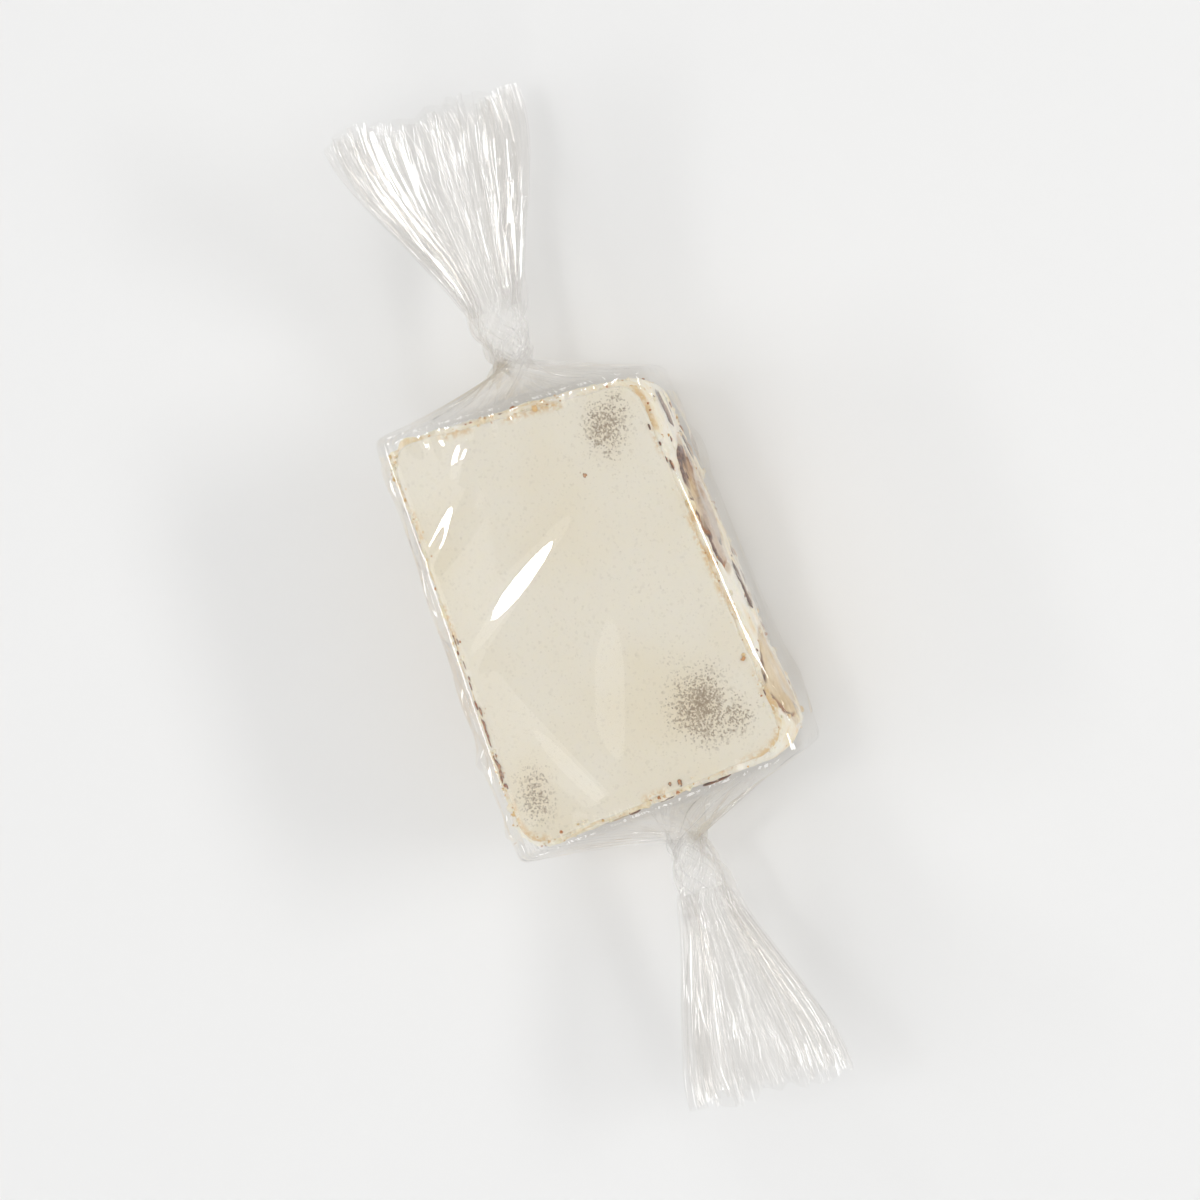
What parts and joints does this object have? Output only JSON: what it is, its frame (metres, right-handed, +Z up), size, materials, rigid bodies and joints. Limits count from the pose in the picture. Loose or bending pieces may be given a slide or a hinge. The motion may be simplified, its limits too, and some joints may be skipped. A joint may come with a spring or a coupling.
{
  "type": "wrapped nougat piece",
  "caption": "Block of white almond nougat between two wafer sheets, sealed in a clear film wrapper twisted at both ends.",
  "frame": {"origin": "on the floor below the middle of the piece", "axes": "+X along the block from twist to twist, +Z up through the wafer sheets, the front cut side faces -Y"},
  "size_m": [0.0968, 0.0286, 0.0185],
  "materials": {
    "nougat": "soft cream nougat, cut, slightly rough and faintly translucent",
    "wafer": "thin white edible wafer sheet, matt",
    "almond": "cut almond flesh with a thin brown skin",
    "film": "clear glossy crinkled film"
  },
  "bodies": {
    "root": {"nougat": "nougat", "wafer_top": "wafer", "wafer_bottom": "wafer", "almond_front_left": "almond", "almond_front_centre": "almond", "almond_front_low": "almond", "almond_back_left": "almond", "almond_back_right": "almond", "almond_end_left": "almond", "almond_end_right": "almond", "wrapper": "film"}
  },
  "joints": []
}
